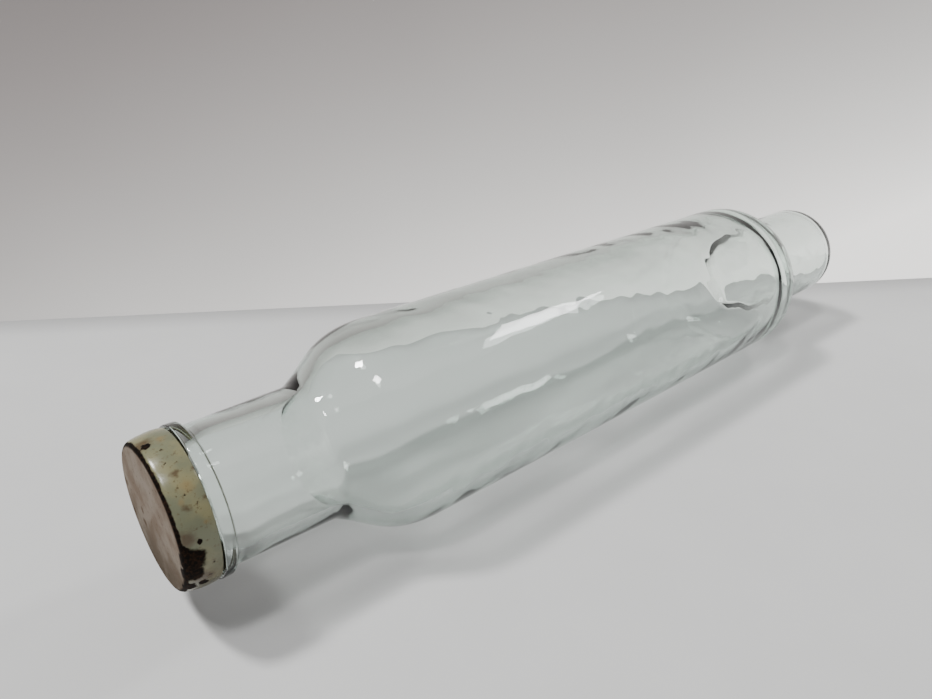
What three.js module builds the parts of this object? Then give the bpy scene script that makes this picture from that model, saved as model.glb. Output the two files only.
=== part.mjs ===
// Hollow glass rolling pin with a screw cap.
// Millimetres, +Z up. +X runs along the pin from the cap to the closed handle.
// The origin is the bottom centre of the bounding box. The pin lies on a flat of its barrel.
import * as THREE from "three";

// ---- driving dimensions ----
const LENGTH = 353; // over the cap and the handle
const BARREL_D = 70; // across the barrel's flats
const WALL = 4.5; // glass thickness of the barrel
const SIDES = 48; // flats around every turned shape

const NECK_R = 21.2; // neck between the bead and the shoulder
const BEAD_TOP_R = 23; // over the bead behind the cap
const BORE_R = 16.4; // open way through the mouth
const NECK_BORE_R = 17.8; // open way through the neck, behind the mouth
const HANDLE_R = 22.8;
const HANDLE_WALL = 3.6;

const CAP_H = 10.1; // cap from its face to its curled edge
const CAP_FACE_R = 21.6;
const CAP_EDGE_R = 22.6;
const STEEL = 0.55; // thickness of the painted sheet

// Right-hand thread, one ridge on the glass and one in the cap, half a pitch apart.
const THREAD_PITCH = 4.23; // six turns to the inch
const GLASS_THREAD = { root: 19.7, crest: 20.75, width: 1.9, start: 0, end: 1 };
const CAP_THREAD = { root: 21.2, crest: 20.05, width: 1.4, start: -0.45, end: 0.65 };

// ---- stations along the axis, measured from the cap's face ----
const RIM_X = 2.6; // glass rim, behind the liner
const THREAD_X = 8.9; // back end of the ridge on the glass
const BEAD_FRONT_X = 10.4;
const BEAD_BACK_X = 14.2;
const NECK_END_X = 47.9;
const BARREL_START_X = 79;
const BARREL_END_X = 279.2;
const BARREL_CORNER_R = 17.8;
const HANDLE_CORNER_R = 7.2;

const BARREL_R = BARREL_D / 2;
const AXIS_Z = BARREL_R;
const FLAT = Math.cos(Math.PI / SIDES); // a flat's distance over a corner's distance
const UP_AND_DOWN = Math.PI / SIDES; // turns the sides so that one flat faces straight down

const group = new THREE.Group();
group.name = "glass_rolling_pin";

// ---- helpers ----

// A profile is a THREE.Path of (station along the axis, radius). The turned solid lies along X.
function turn(profile, step = 4) {
  const points = profile.getPoints(step).map((p) => new THREE.Vector2(p.y / FLAT, p.x));
  const distinct = points.filter((p, i) => i === 0 || p.distanceTo(points[i - 1]) > 1e-4);
  if (THREE.ShapeUtils.area(distinct) < 0) distinct.reverse(); // so that every face points out
  const solid = new THREE.LatheGeometry(distinct, SIDES, UP_AND_DOWN);
  solid.rotateZ(-Math.PI / 2);
  return solid;
}

// Height of a thread's ridge at one place, from 0 to 1. `zero` is the ridge's station at angle
// zero. It runs from `start` to `end`, in turns, and fades in and out over a fifth of a turn.
function ridge(x, angle, zero, { width, start, end }) {
  let height = 0;
  for (let lap = Math.floor(start); lap <= Math.ceil(end); lap += 1) {
    const run = angle / (2 * Math.PI) + lap;
    const off = (x - zero + THREAD_PITCH * run) / (width / 2);
    const fadeIn = THREE.MathUtils.smoothstep(run, start, start + 0.2);
    const fadeOut = 1 - THREE.MathUtils.smoothstep(run, end - 0.2, end);
    height = Math.max(height, (1 - off * off) * fadeIn * fadeOut);
  }
  return height;
}

// Raises a ridge on the wall that stands at the thread's root radius.
function cutThread(solid, zero, thread) {
  const place = solid.getAttribute("position");
  for (let i = 0; i < place.count; i += 1) {
    const [x, y, z] = [place.getX(i), place.getY(i), place.getZ(i)];
    if (Math.abs(Math.hypot(y, z) * FLAT - thread.root) < 0.01) {
      const angle = THREE.MathUtils.euclideanModulo(Math.atan2(-z, y), 2 * Math.PI);
      const reach = (thread.crest - thread.root) * ridge(x, angle, zero, thread);
      const grown = 1 + reach / thread.root;
      place.setXYZ(i, x, y * grown, z * grown);
    }
  }
}

// Evenly spaced rows along a straight run of a profile, so that a thread can be raised on it.
function rows(profile, from, to, radius, spacing = 0.35) {
  const count = Math.ceil(Math.abs(to - from) / spacing);
  for (let i = 1; i <= count; i += 1) {
    profile.lineTo(from + ((to - from) * i) / count, radius);
  }
}

function add(name, solid, look) {
  solid.translate(-LENGTH / 2, 0, AXIS_Z);
  solid.computeVertexNormals();
  const mesh = new THREE.Mesh(solid, new THREE.MeshStandardMaterial(look));
  mesh.name = name;
  group.add(mesh);
}

// ---- glass body: threaded mouth, bead, neck, shoulder, barrel and closed handle ----
function glassBody() {
  const inR = BARREL_R - WALL;
  const inHandleR = HANDLE_R - HANDLE_WALL;
  const cornerY = BARREL_R - BARREL_CORNER_R;
  const meet = Math.asin((HANDLE_R + 2 - cornerY) / BARREL_CORNER_R);
  const meetX = BARREL_END_X + BARREL_CORNER_R * Math.cos(meet);

  const p = new THREE.Path();
  // outside, from the middle of the handle's end forward to the mouth
  p.moveTo(LENGTH, 0);
  p.lineTo(LENGTH, HANDLE_R - HANDLE_CORNER_R);
  p.absarc(LENGTH - HANDLE_CORNER_R, HANDLE_R - HANDLE_CORNER_R, HANDLE_CORNER_R, 0, Math.PI / 2);
  p.lineTo(meetX + 2.6, HANDLE_R);
  p.quadraticCurveTo(meetX + 0.4, HANDLE_R, meetX, HANDLE_R + 2);
  p.absarc(BARREL_END_X, cornerY, BARREL_CORNER_R, meet, Math.PI / 2);
  p.lineTo(BARREL_START_X, BARREL_R);
  p.bezierCurveTo(66, BARREL_R, 61, 30, 56, 26.6);
  p.quadraticCurveTo(51.5, 23.4, NECK_END_X, 21.8);
  p.lineTo(BEAD_BACK_X + 0.7, NECK_R);
  // bead behind the cap
  p.quadraticCurveTo(BEAD_BACK_X, NECK_R, BEAD_BACK_X, NECK_R + 0.7);
  p.absarc(BEAD_BACK_X - 1, BEAD_TOP_R - 1, 1, 0, Math.PI / 2);
  p.absarc(BEAD_FRONT_X + 0.5, BEAD_TOP_R - 0.5, 0.5, Math.PI / 2, Math.PI);
  p.lineTo(BEAD_FRONT_X, GLASS_THREAD.root);
  // threaded finish and rounded rim
  rows(p, BEAD_FRONT_X, RIM_X + 1, GLASS_THREAD.root);
  p.absarc(RIM_X + 1, GLASS_THREAD.root - 1, 1, Math.PI / 2, Math.PI);
  p.lineTo(RIM_X, BORE_R + 1);
  p.absarc(RIM_X + 1, BORE_R + 1, 1, Math.PI, Math.PI * 1.5);
  // inside, back through the neck and the barrel to the handle
  p.lineTo(BEAD_FRONT_X, BORE_R);
  p.bezierCurveTo(17, BORE_R, 17, NECK_BORE_R, 24, NECK_BORE_R);
  p.lineTo(NECK_END_X - 2, NECK_BORE_R);
  p.bezierCurveTo(54.5, NECK_BORE_R + 0.6, 58, 23, 63.5, 26.6);
  p.quadraticCurveTo(69, inR, BARREL_START_X, inR);
  p.lineTo(268, inR);
  p.bezierCurveTo(292, inR, 284, inHandleR, 308, inHandleR);
  p.lineTo(LENGTH - HANDLE_WALL - 5, inHandleR);
  p.absarc(LENGTH - HANDLE_WALL - 5, inHandleR - 5, 5, Math.PI / 2, 0, true);
  p.lineTo(LENGTH - HANDLE_WALL, 0);

  const solid = turn(p);
  cutThread(solid, THREAD_X, GLASS_THREAD);
  add("glass_body", solid, {
    color: 0xc9d2cb, roughness: 0.05, metalness: 0, transparent: true, opacity: 0.35,
  });
}

// ---- cap: pressed sheet steel with a rolled thread and a curled edge ----
function capShell() {
  const faceCorner = 1.4;
  const curl = STEEL * 1.1;
  const p = new THREE.Path();
  // outside, from the middle of the face back along the bulged skirt
  p.moveTo(0, 0);
  p.lineTo(0, CAP_FACE_R - faceCorner);
  p.quadraticCurveTo(0, CAP_FACE_R - 0.2, faceCorner, CAP_FACE_R + 0.35);
  p.quadraticCurveTo(CAP_H * 0.55, CAP_EDGE_R + 0.5, CAP_H - curl, CAP_EDGE_R);
  p.absarc(CAP_H - curl, CAP_EDGE_R - curl, curl, Math.PI / 2, 0, true);
  p.quadraticCurveTo(CAP_H, CAP_THREAD.root + 0.05, CAP_H - 0.4, CAP_THREAD.root);
  // inside, threaded skirt and flat crown
  rows(p, CAP_H - 0.4, STEEL + 1, CAP_THREAD.root);
  p.quadraticCurveTo(STEEL, CAP_THREAD.root, STEEL, CAP_THREAD.root - 1);
  p.lineTo(STEEL, 0);

  const solid = turn(p);
  cutThread(solid, THREAD_X - THREAD_PITCH / 2, CAP_THREAD);
  add("cap_shell", solid, { color: 0xd3cfa6, roughness: 0.45, metalness: 0.1 });
}

// ---- two-part seal inside the cap: a board disc and its thin waxed facing ----
function disc(name, from, thickness, radius, look) {
  const p = new THREE.Path();
  p.moveTo(from, 0);
  p.lineTo(from, radius);
  p.lineTo(from + thickness, radius);
  p.lineTo(from + thickness, 0);
  add(name, turn(p), look);
}

glassBody();
capShell();
disc("liner_board", STEEL + 0.15, 1.1, 19.6, { color: 0xb59a72, roughness: 0.9, metalness: 0 });
disc("liner_facing", STEEL + 1.4, 0.35, 19.6, { color: 0xe6e0cf, roughness: 0.5, metalness: 0 });

export default group;
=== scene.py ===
import math

import bmesh
import bpy
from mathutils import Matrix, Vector, noise


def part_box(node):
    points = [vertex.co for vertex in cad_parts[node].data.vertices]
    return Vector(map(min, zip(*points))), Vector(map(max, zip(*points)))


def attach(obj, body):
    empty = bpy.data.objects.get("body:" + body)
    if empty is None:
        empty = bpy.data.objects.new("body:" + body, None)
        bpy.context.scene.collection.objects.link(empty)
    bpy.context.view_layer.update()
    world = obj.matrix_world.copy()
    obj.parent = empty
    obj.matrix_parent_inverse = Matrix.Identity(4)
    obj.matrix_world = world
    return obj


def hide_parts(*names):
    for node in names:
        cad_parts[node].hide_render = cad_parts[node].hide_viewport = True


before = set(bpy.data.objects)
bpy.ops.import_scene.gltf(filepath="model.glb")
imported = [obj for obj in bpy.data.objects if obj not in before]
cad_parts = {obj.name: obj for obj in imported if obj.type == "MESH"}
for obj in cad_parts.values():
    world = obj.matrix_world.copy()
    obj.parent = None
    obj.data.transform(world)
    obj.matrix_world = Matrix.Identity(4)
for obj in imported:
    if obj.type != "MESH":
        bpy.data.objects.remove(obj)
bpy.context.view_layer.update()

MM = 0.001  # metres in a millimetre
SIDES = 144  # flats around every turned piece

glass_low, glass_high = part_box("glass_body")
cap_low, cap_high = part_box("cap_shell")
board_low, board_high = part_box("liner_board")
facing_low, facing_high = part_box("liner_facing")

FACE_X = cap_low[0]
AXIS_Z = (glass_low[2] + glass_high[2]) / 2
LENGTH = (glass_high[0] - FACE_X) / MM
BARREL_R = (glass_high[2] - glass_low[2]) / 2 / MM
CAP_H = (cap_high[0] - cap_low[0]) / MM
RIM_X = (glass_low[0] - FACE_X) / MM

# The glass, in millimetres. Names that end in _X are stations.
WALL = 4.5
NECK_R = 21.2
BORE_R = 16.4  # open way through the mouth
NECK_BORE_R = 17.8
HANDLE_R = 22.8
HANDLE_WALL = 3.6
BEAD_FRONT_X = 10.4
BEAD_BACK_X = 14.2
BEAD_TOP_R = 23.0
NECK_END_X = 47.9
BARREL_START_X = 79.0
BARREL_END_X = 279.2
FUNNEL_START_X = 268  # the bore narrows from here, into the handle
FUNNEL_END_X = 308
CORNER_R = 17.8  # round the back of the barrel
HANDLE_CORNER_R = 7.2

# The thread: one ridge on the glass and one in the cap. Starts and ends are in turns.
PITCH = 4.23
THREAD_X = 8.9
GLASS_THREAD = {"root": 19.7, "crest": 20.75, "width": 1.9, "start": 0.0, "end": 1.0}
CAP_THREAD = {"root": 21.2, "crest": 20.05, "width": 1.4, "start": -0.45, "end": 0.65}

# The cap.
CAP_FACE_R = 21.6
CAP_EDGE_R = 22.6
STEEL = 0.55  # thickness of the sheet
CURL = 0.6  # radius of the rolled edge

# Wear on the cap's paint. On the skirt a mark is (station, degrees from the top, size), and on
# the face it is (sideways, up, size).
SKIRT_R = 22
TINTS = [(6.1, -43, 2.4), (4.2, -52, 1.6), (8.1, -70, 1.4), (6.6, 1, 2.5)]
SKIRT_SMUDGES = [(2.2, 4, 3.6), (5, -32, 1.5), (4.8, -56, 1.8), (9.3, -54, 1.2), (9.8, -34, 1.0),
                 (2.5, -76, 3.4), (4.5, -112, 4.2)]
FACE_SMUDGES = [(19, 2, 2.6), (18, -8, 2.6), (16, 14, 2.4), (8, -6, 1.8), (8, -2, 1.4),
                (0, -20, 3.6), (7.5, -19, 3.2)]
CHIPS = [(2.2, -92, 4.3), (1.6, -106, 3.6), (1.0, -122, 2.6), (4.6, -120, 1.6), (0.8, -84, 1.8),
         (2.6, 0, 1.4), (4.9, -80, 0.9), (8.4, -76, 0.8)]


# ---- outlines ----

def line(a, b, count):
    """Points after a, up to b."""
    return [(a[0] + (b[0] - a[0]) * i / count, a[1] + (b[1] - a[1]) * i / count)
            for i in range(1, count + 1)]


def arc(centre, radius, first, last, count):
    """Points on a circle from the angle first to the angle last, in degrees."""
    turns = [math.radians(first + (last - first) * i / count) for i in range(count + 1)]
    return [(centre[0] + radius * math.cos(t), centre[1] + radius * math.sin(t)) for t in turns]


def curve(points, count):
    """Points on a Bezier curve of any degree, after its first control point."""
    found = []
    for i in range(1, count + 1):
        t = i / count
        hull = [Vector(p) for p in points]
        while len(hull) > 1:
            hull = [a.lerp(b, t) for a, b in zip(hull, hull[1:])]
        found.append(tuple(hull[0]))
    return found


def smooth(value, low, high):
    """0 up to low and 1 from high on, with a soft rise between them."""
    t = min(max((value - low) / (high - low), 0.0), 1.0)
    return t * t * (3 - 2 * t)


def ridge(x, angle, zero, thread):
    """Height of a right-hand thread's ridge at one place, from 0 to 1."""
    height = 0.0
    for lap in (-1, 0, 1):
        run = angle / math.tau + lap
        off = (x - zero + PITCH * run) / (thread["width"] / 2)
        fade = smooth(run, thread["start"], thread["start"] + 0.2)
        fade *= 1 - smooth(run, thread["end"] - 0.2, thread["end"])
        height = max(height, (1 - off * off) * fade)
    return height


def thread_push(x, radius, angle, zero, thread):
    """How far a wall at the thread's root radius moves out, in millimetres."""
    if abs(radius - thread["root"]) > 0.01:
        return 0.0
    around = (angle - math.pi / 2) % math.tau
    return (thread["crest"] - thread["root"]) * ridge(x, around, zero, thread)


# ---- meshes ----

def turned(name, outline, push=None):
    """A solid turned about the pin's axis. push moves a point of the wall out by some millimetres."""
    verts = []
    rings = []
    for x, radius in outline:
        if radius < 1e-6:
            rings.append([len(verts)])
            verts.append((FACE_X + x * MM, 0.0, AXIS_Z))
            continue
        rings.append(list(range(len(verts), len(verts) + SIDES)))
        for i in range(SIDES):
            angle = math.tau * i / SIDES
            r = (radius + (push(x, radius, angle) if push else 0.0)) * MM
            verts.append((FACE_X + x * MM, r * math.sin(angle), AXIS_Z + r * math.cos(angle)))
    faces = []
    for a, b in zip(rings, rings[1:]):
        for i in range(SIDES):
            j = (i + 1) % SIDES
            corners = [a[i % len(a)], a[j % len(a)], b[j % len(b)], b[i % len(b)]]
            faces.append(list(dict.fromkeys(corners)))
    mesh = bpy.data.meshes.new(name)
    mesh.from_pydata(verts, [], faces)
    mesh.update()
    whole = bmesh.new()
    whole.from_mesh(mesh)
    bmesh.ops.recalc_face_normals(whole, faces=whole.faces)
    whole.to_mesh(mesh)
    whole.free()
    mesh.shade_smooth()
    piece = bpy.data.objects.new(name, mesh)
    bpy.context.scene.collection.objects.link(piece)
    return piece


def glass_outline():
    """From the middle of the handle's end, forward outside to the mouth, and back inside."""
    corner = BARREL_R - CORNER_R
    in_r = BARREL_R - WALL
    in_handle = HANDLE_R - HANDLE_WALL
    meet = math.degrees(math.asin((HANDLE_R + 2 - corner) / CORNER_R))
    meet_x = BARREL_END_X + CORNER_R * math.cos(math.radians(meet))
    end_x = LENGTH - HANDLE_CORNER_R
    in_end = LENGTH - HANDLE_WALL - 5
    root = GLASS_THREAD["root"]

    out = [(LENGTH, 0.0)]
    out += line(out[-1], (LENGTH, HANDLE_R - HANDLE_CORNER_R), 6)
    out += arc((end_x, HANDLE_R - HANDLE_CORNER_R), HANDLE_CORNER_R, 0, 90, 10)[1:]
    out += line(out[-1], (meet_x + 2.6, HANDLE_R), 12)
    out += curve([out[-1], (meet_x + 0.4, HANDLE_R), (meet_x, HANDLE_R + 2)], 6)
    out += arc((BARREL_END_X, corner), CORNER_R, meet, 90, 14)[1:]
    out += line(out[-1], (BARREL_START_X, BARREL_R), 60)
    out += curve([out[-1], (66, BARREL_R), (61, 30), (56, 26.6)], 12)
    out += curve([out[-1], (51.5, 23.4), (NECK_END_X, 21.8)], 6)
    out += line(out[-1], (BEAD_BACK_X + 0.7, NECK_R), 12)
    out += curve([out[-1], (BEAD_BACK_X, NECK_R), (BEAD_BACK_X, NECK_R + 0.7)], 4)
    out += arc((BEAD_BACK_X - 1, BEAD_TOP_R - 1), 1, 0, 90, 8)
    out += arc((BEAD_FRONT_X + 0.5, BEAD_TOP_R - 0.5), 0.5, 90, 180, 6)
    out += line(out[-1], (BEAD_FRONT_X, root), 3)
    out += line(out[-1], (RIM_X + 1, root), 30)
    out += arc((RIM_X + 1, root - 1), 1, 90, 180, 5)[1:]
    out += line(out[-1], (RIM_X, BORE_R + 1), 2)
    out += arc((RIM_X + 1, BORE_R + 1), 1, 180, 270, 5)[1:]
    out += line(out[-1], (BEAD_FRONT_X, BORE_R), 4)
    out += curve([out[-1], (17, BORE_R), (17, NECK_BORE_R), (24, NECK_BORE_R)], 10)
    out += line(out[-1], (NECK_END_X - 2, NECK_BORE_R), 10)
    out += curve([out[-1], (54.5, NECK_BORE_R + 0.6), (58, 23), (63.5, 26.6)], 12)
    out += curve([out[-1], (69, in_r), (BARREL_START_X, in_r)], 8)
    out += line(out[-1], (FUNNEL_START_X, in_r), 90)
    out += curve([out[-1], (292, in_r), (284, in_handle), (FUNNEL_END_X, in_handle)], 30)
    out += line(out[-1], (in_end, in_handle), 14)
    out += arc((in_end, in_handle - 5), 5, 90, 0, 8)[1:]
    out += line(out[-1], (LENGTH - HANDLE_WALL, 0.0), 6)
    return out


def glass_push(x, radius, angle):
    """The thread outside, and the slow waves that blowing leaves on the inside of the wall."""
    push = thread_push(x, radius, angle, THREAD_X, GLASS_THREAD)
    if radius < BARREL_R - WALL + 0.1:
        y, z = math.sin(angle), math.cos(angle)
        slow = noise.noise(Vector((x / 40, y * 1.2, z * 1.2)))
        quick = noise.noise(Vector((x / 20 + 7, y * 2.0, z * 2.0)))
        # none in the neck and the handle, and stronger towards the back of the barrel
        strength = smooth(x, 60, 90) * (0.28 + 0.25 * smooth(x, 150, 230))
        strength *= 1 - smooth(x, 255, 284)
        push += strength * (slow + 0.15 * quick)
    return push


def cap_outline():
    """From the middle of the face, back outside over the skirt, and forward inside."""
    root = CAP_THREAD["root"]
    out = [(0.0, 0.0)]
    out += line(out[-1], (0.0, CAP_FACE_R - 1.4), 14)
    out += curve([out[-1], (0.0, CAP_FACE_R - 0.2), (1.4, CAP_FACE_R + 0.35)], 6)
    out += curve([out[-1], (CAP_H * 0.55, CAP_EDGE_R + 0.5), (CAP_H - CURL, CAP_EDGE_R)], 14)
    out += arc((CAP_H - CURL, CAP_EDGE_R - CURL), CURL, 90, 0, 5)[1:]
    out += curve([out[-1], (CAP_H, root + 0.05), (CAP_H - 0.4, root)], 4)
    out += line(out[-1], (STEEL + 1, root), 36)
    out += curve([out[-1], (STEEL, root), (STEEL, root - 1)], 4)
    out += line(out[-1], (STEEL, 0.0), 10)
    return out


def cap_push(x, radius, angle):
    """The rolled thread inside, and small dents in the sheet, which only go inwards."""
    push = thread_push(x, radius, angle, THREAD_X - PITCH / 2, CAP_THREAD)
    if radius > CAP_THREAD["root"] + 0.2:
        y, z = math.sin(angle), math.cos(angle)
        push -= 0.12 * abs(noise.noise(Vector((x / 5, y * 3, z * 3))))
    return push


def disc(name, low, high):
    """A liner disc with the place, thickness and radius of its CAD node."""
    front = (low[0] - FACE_X) / MM
    back = (high[0] - FACE_X) / MM
    radius = (high[2] - low[2]) / 2 / MM - 0.1  # a hair inside the CAD's disc
    return turned(name, [(front, 0), (front, radius), (back, radius), (back, 0)])


# ---- materials ----

def srgb(r, g, b):
    """A linear colour with alpha from sRGB values out of 255."""
    parts = [v / 255 for v in (r, g, b)]
    return [v / 12.92 if v < 0.04045 else ((v + 0.055) / 1.055) ** 2.4 for v in parts] + [1.0]


class Shader:
    """A material's node tree, with short names for the nodes used here."""

    def __init__(self, name):
        self.material = bpy.data.materials.new(name)
        self.material.use_nodes = True
        self.tree = self.material.node_tree
        self.tree.nodes.clear()
        self.output = self.add("ShaderNodeOutputMaterial")

    def add(self, kind, sockets=None, **settings):
        node = self.tree.nodes.new(kind)
        for key, value in settings.items():
            setattr(node, key, value)
        for key, value in (sockets or {}).items():
            if isinstance(value, bpy.types.NodeSocket):
                self.tree.links.new(value, node.inputs[key])
            else:
                node.inputs[key].default_value = value
        return node

    def math(self, operation, a, b=0.0):
        return self.add("ShaderNodeMath", {0: a, 1: b}, operation=operation).outputs[0]

    def place(self):
        """Millimetres back from the cap's face, and sideways and up from the axis."""
        where = self.add("ShaderNodeTexCoord").outputs["Object"]
        from_face = self.add("ShaderNodeVectorMath", {0: where, 1: (FACE_X, 0, AXIS_Z)},
                             operation="SUBTRACT").outputs[0]
        return self.add("ShaderNodeVectorMath", {0: from_face, "Scale": 1 / MM},
                        operation="SCALE").outputs[0]

    def noise(self, where, scale, detail=3.0, roughness=0.5):
        return self.add("ShaderNodeTexNoise", {
            "Vector": where, "Scale": scale, "Detail": detail, "Roughness": roughness,
        }).outputs[0]

    def step(self, value, low, high):
        """0 below low and 1 above high, or the other way round where low is above high."""
        return self.add("ShaderNodeMapRange", {"Value": value, "From Min": low, "From Max": high},
                        interpolation_type="SMOOTHSTEP").outputs[0]

    def mix(self, amount, a, b):
        return self.add("ShaderNodeMix", {"Factor": amount, "A": a, "B": b},
                        data_type="RGBA").outputs["Result"]

    def bump(self, height, distance):
        return self.add("ShaderNodeBump", {"Height": height, "Distance": distance}).outputs[0]

    def spots(self, where, places, softness, wobble):
        """1 inside any of the (place, size) spots, with edges that wobble moves about."""
        found = 0.0
        for spot, size in places:
            away = self.add("ShaderNodeVectorMath", {0: where, 1: spot}, operation="DISTANCE")
            away = self.math("ADD", away.outputs["Value"], wobble)
            found = self.math("MAXIMUM", found, self.step(away, size, size * (1 - softness)))
        return found

    def principled(self, sockets):
        shader = self.add("ShaderNodeBsdfPrincipled", sockets)
        self.tree.links.new(shader.outputs[0], self.output.inputs["Surface"])
        return shader


def passed_light(s, where, facing):
    """How much light reaches the table: less at the edges, neck and handle, with streaks."""
    edge = s.step(facing, 0.3, 0.95)
    stretched = s.add("ShaderNodeVectorMath", {0: where, 1: (0.25, 1, 1)},
                      operation="MULTIPLY").outputs[0]
    streak = s.math("MULTIPLY", s.step(s.noise(stretched, 0.09, 2.0), 0.3, 0.7), 0.2)
    x = s.add("ShaderNodeSeparateXYZ", {0: where}).outputs[0]
    thick = s.math("MULTIPLY", s.math("MAXIMUM", s.step(x, 70, 45), s.step(x, 262, 285)), 0.16)
    passed = s.math("SUBTRACT", s.math("ADD", streak, 0.76), thick)
    return s.math("MULTIPLY", passed, s.math("SUBTRACT", 1.0, s.math("MULTIPLY", edge, 0.5)))


def glass_material():
    """Clear glass with a faint green-grey tint, and painted shade: darker green round its outline."""
    s = Shader("clear_glass")
    where = s.place()
    tint_and_edge_shade = s.mix(s.noise(where, 0.05), (0.955, 0.975, 0.962, 1), (0.925, 0.955, 0.94, 1))
    waves = s.bump(s.noise(where, 0.06, 1.0), 0.0004)
    facing = s.add("ShaderNodeLayerWeight", {"Blend": 0.5}).outputs["Facing"]
    # painted shade: a darker green where the surface turns edge-on, round the outline
    tint_and_edge_shade = s.mix(s.step(facing, 0.55, 0.8), tint_and_edge_shade, (0.72, 0.8, 0.76, 1))
    body = s.principled({
        "Base Color": tint_and_edge_shade, "Roughness": s.math("MULTIPLY", s.noise(where, 0.3), 0.03),
        "Transmission Weight": 1.0, "IOR": 1.5, "Normal": waves,
    })
    clear = s.add("ShaderNodeBsdfTransparent", {"Color": passed_light(s, where, facing)})
    shadow = s.add("ShaderNodeLightPath").outputs["Is Shadow Ray"]
    both = s.add("ShaderNodeMixShader", {0: shadow, 1: body.outputs[0], 2: clear.outputs[0]})
    s.tree.links.new(both.outputs[0], s.output.inputs["Surface"])
    depth = s.add("ShaderNodeVolumeAbsorption", {"Color": (0.66, 0.82, 0.74, 1), "Density": 30.0})
    s.tree.links.new(depth.outputs[0], s.output.inputs["Volume"])
    return s.material


def on_skirt(marks):
    """Spots on the cap's skirt from (station, degrees from the top towards +Y, size) marks."""
    turns = [(station, math.radians(degrees), size) for station, degrees, size in marks]
    return [((station, SKIRT_R * math.sin(a), SKIRT_R * math.cos(a)), size)
            for station, a, size in turns]


def on_crown(marks):
    """Spots on the cap's face from (sideways, up, size) marks."""
    return [((0, sideways, up), size) for sideways, up, size in marks]


def cap_material():
    """Old cream enamel on steel: greener on the skirt, pinker on the face, worn to rust."""
    s = Shader("cap_enamel")
    where = s.place()
    x, y, z = s.add("ShaderNodeSeparateXYZ", {0: where}).outputs
    round_r = s.math("SQRT", s.math("ADD", s.math("MULTIPLY", y, y), s.math("MULTIPLY", z, z)))
    cloud = s.noise(where, 0.12, 4.0)
    fine = s.noise(where, 1.1, 5.0, 0.6)
    blotch = s.noise(where, 0.75, 5.0, 0.62)

    skirt = s.mix(s.step(cloud, 0.35, 0.65), srgb(142, 137, 102), srgb(120, 122, 98))
    face = s.mix(s.step(cloud, 0.35, 0.65), srgb(148, 136, 123), srgb(124, 108, 93))
    on_face = s.step(x, 0.6, 0.15)
    paint = s.mix(on_face, skirt, face)
    wobble = s.math("MULTIPLY", s.math("SUBTRACT", s.noise(where, 0.35, 4.0), 0.5), 4.0)

    # orange tints, brown smudges, and painted shade darkening the underside in blotches
    tints = s.spots(where, on_skirt(TINTS), 0.95, wobble)
    paint = s.mix(s.math("MULTIPLY", tints, 0.45), paint, srgb(150, 120, 74))
    smudges = s.spots(where, on_skirt(SKIRT_SMUDGES) + on_crown(FACE_SMUDGES), 0.7, wobble)
    paint = s.mix(s.math("MULTIPLY", smudges, 0.8), paint, srgb(84, 64, 44))
    specks = s.step(blotch, 0.56, 0.66)
    paint = s.mix(s.math("MULTIPLY", specks, 0.4), paint, srgb(96, 72, 44))
    # painted shade: the skirt is darker towards its underside, in blotches
    underside_shade = s.math("MULTIPLY", s.step(z, 4, -20), s.step(cloud, 0.1, 0.5))
    paint = s.mix(s.math("MULTIPLY", underside_shade, 0.75), paint, srgb(70, 58, 42))

    # bare rusty steel: a worn ring round the front edge, a big chip low in front, and small ones
    ring = s.math("ADD", s.math("ABSOLUTE", s.math("SUBTRACT", x, 0.4)),
                  s.math("MULTIPLY", wobble, 0.25))
    rust = s.math("MULTIPLY", s.step(ring, 0.75, 0.35), s.step(round_r, 20.2, 21.0))
    rust = s.math("MAXIMUM", rust, s.step(blotch, 0.66, 0.7))
    rust = s.math("MAXIMUM", rust, s.spots(where, on_skirt(CHIPS), 0.3, wobble))

    bare = s.mix(s.step(fine, 0.4, 0.75), srgb(14, 10, 7), srgb(48, 31, 20))
    height = s.math("SUBTRACT", s.math("MULTIPLY", fine, 0.3), rust)
    dull = s.math("MAXIMUM", rust, on_face)  # worn matt, so that the marks show at low angles
    s.principled({
        "Base Color": s.mix(rust, paint, bare),
        "Roughness": s.math("ADD", s.math("MULTIPLY", dull, 0.5), 0.22),
        "Specular IOR Level": s.math("SUBTRACT", 0.4, s.math("MULTIPLY", dull, 0.34)),
        "Normal": s.bump(height, 0.00006),
    })
    return s.material


def board_material(name, light, dark, roughness):
    """Pressed pulp or waxed paper, flecked."""
    s = Shader(name)
    where = s.place()
    flecks = s.noise(where, 1.4, 6.0, 0.7)
    s.principled({
        "Base Color": s.mix(s.step(flecks, 0.35, 0.7), light, dark),
        "Roughness": s.math("ADD", s.math("MULTIPLY", flecks, 0.15), roughness),
        "Normal": s.bump(flecks, 0.00005),
    })
    return s.material


# ---- the pieces ----

glass = turned("glass", glass_outline(), glass_push)
glass.data.materials.append(glass_material())
glass.visible_diffuse = False  # matt surfaces get its shadow, and no light by way of the glass
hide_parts("glass_body")
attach(glass, "glass")

cap = turned("cap", cap_outline(), cap_push)
cap.data.materials.append(cap_material())
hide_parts("cap_shell")
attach(cap, "cap")

board = disc("board", board_low, board_high)
board.data.materials.append(
    board_material("pulp_board", srgb(196, 168, 126), srgb(150, 122, 86), 0.8))
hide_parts("liner_board")
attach(board, "liner")

facing = disc("facing", facing_low, facing_high)
facing.data.materials.append(
    board_material("waxed_paper", srgb(236, 228, 208), srgb(206, 190, 158), 0.4))
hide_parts("liner_facing")
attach(facing, "liner")


# ---- table, wall, lights and camera ----

def sheet(name, corners, material):
    """A flat stage piece, which is not part of the pin."""
    mesh = bpy.data.meshes.new(name)
    mesh.from_pydata(corners, [], [(0, 1, 2, 3)])
    mesh.update()
    mesh.materials.append(material)
    thing = bpy.data.objects.new(name, mesh)
    bpy.context.scene.collection.objects.link(thing)
    return thing


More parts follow.
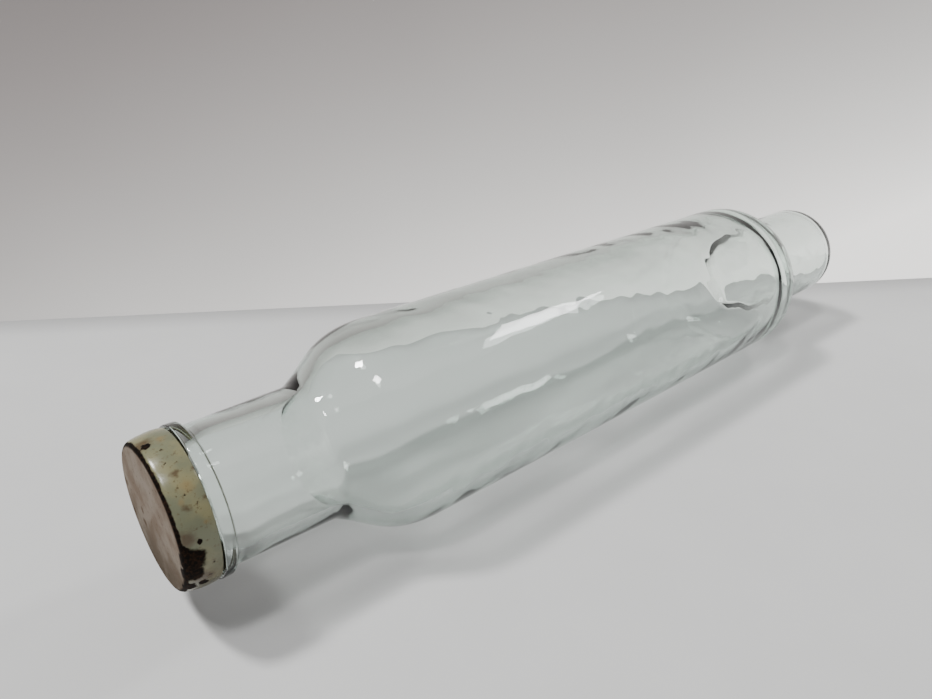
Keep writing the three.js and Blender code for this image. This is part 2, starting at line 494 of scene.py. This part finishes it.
def table_material():
    """Plain and pale, with a very faint mottle."""
    s = Shader("table_top")
    where = s.add("ShaderNodeTexCoord").outputs["Object"]
    s.principled({
        "Base Color": s.mix(s.noise(where, 30.0, 4.0), (0.72, 0.72, 0.71, 1), (0.78, 0.78, 0.77, 1)),
        "Roughness": 0.6,
    })
    return s.material


def wall_material():
    """Softly glowing, dimmer towards the cap's end and upwards, and clear from behind."""
    s = Shader("wall")
    where = s.add("ShaderNodeTexCoord").outputs["Object"]
    tone = s.math("MULTIPLY", s.noise(where, 5.0, 2.0), 0.3)
    x, y, z = s.add("ShaderNodeSeparateXYZ", {0: where}).outputs
    lit = s.math("SUBTRACT", s.math("MULTIPLY", x, 4.0), s.math("MULTIPLY", z, 11.0))
    lit = s.math("MINIMUM", s.math("ADD", lit, tone), 0.8)
    paint = s.principled({
        "Base Color": (0.12, 0.115, 0.11, 1), "Roughness": 0.8,
        "Emission Color": s.mix(s.step(lit, -3, 0), (1, 0.86, 0.85, 1), (1, 0.98, 0.95, 1)),
        "Emission Strength": s.math("POWER", 2.0, lit),
    })
    clear = s.add("ShaderNodeBsdfTransparent")
    behind = s.add("ShaderNodeNewGeometry").outputs["Backfacing"]
    both = s.add("ShaderNodeMixShader", {0: behind, 1: paint.outputs[0], 2: clear.outputs[0]})
    s.tree.links.new(both.outputs[0], s.output.inputs["Surface"])
    return s.material


sheet("table", [(-3, -3, 0), (3, -3, 0), (3, 3, 0), (-3, 3, 0)], table_material())

# The wall stands behind the pin, along a line through its foot.
foot = Vector((0.0213, 0.1446, 0))
along = Vector((0.832, -0.555, 0))
half_width = 0.9
height = Vector((0, 0, 0.24))
left, right = foot - along * half_width, foot + along * half_width
wall = sheet("wall", [left, right, right + height, left + height], wall_material())
wall.visible_diffuse = False  # its glow is seen, and mirrored in gloss, but lights nothing matt


def lamp(name, azimuth, elevation, distance, size, power):
    """A square soft light aimed at the pin. Azimuth is in degrees from +X towards +Y."""
    a, e = math.radians(azimuth), math.radians(elevation)
    away = Vector((math.cos(a) * math.cos(e), math.sin(a) * math.cos(e), math.sin(e)))
    light = bpy.data.lights.new(name, "AREA")
    light.shape = "SQUARE"
    light.size = size
    light.energy = power
    thing = bpy.data.objects.new(name, light)
    thing.location = Vector((0, 0, 0.035)) + away * distance
    thing.rotation_euler = away.to_track_quat("Z", "Y").to_euler()
    bpy.context.scene.collection.objects.link(thing)


lamp("key", azimuth=139, elevation=62, distance=3.0, size=0.35, power=62)
lamp("second", azimuth=197, elevation=67, distance=3.0, size=0.35, power=26)
lamp("window", azimuth=-14, elevation=50, distance=0.9, size=0.15, power=1.6)

world = bpy.data.worlds.new("room")
world.use_nodes = True
world.node_tree.nodes["Background"].inputs["Color"].default_value = (0.55, 0.55, 0.56, 1)
world.node_tree.nodes["Background"].inputs["Strength"].default_value = 0.5
bpy.context.scene.world = world

camera = bpy.data.objects.new("camera", bpy.data.cameras.new("camera"))
camera.data.sensor_width = 36
camera.data.lens = 28.07
camera.data.clip_start = 0.01
camera.location = (-0.2142, -0.1742, 0.1628)
camera.rotation_euler = (math.radians(63.87), 0, math.radians(-40.78))
bpy.context.scene.collection.objects.link(camera)
bpy.context.scene.camera = camera
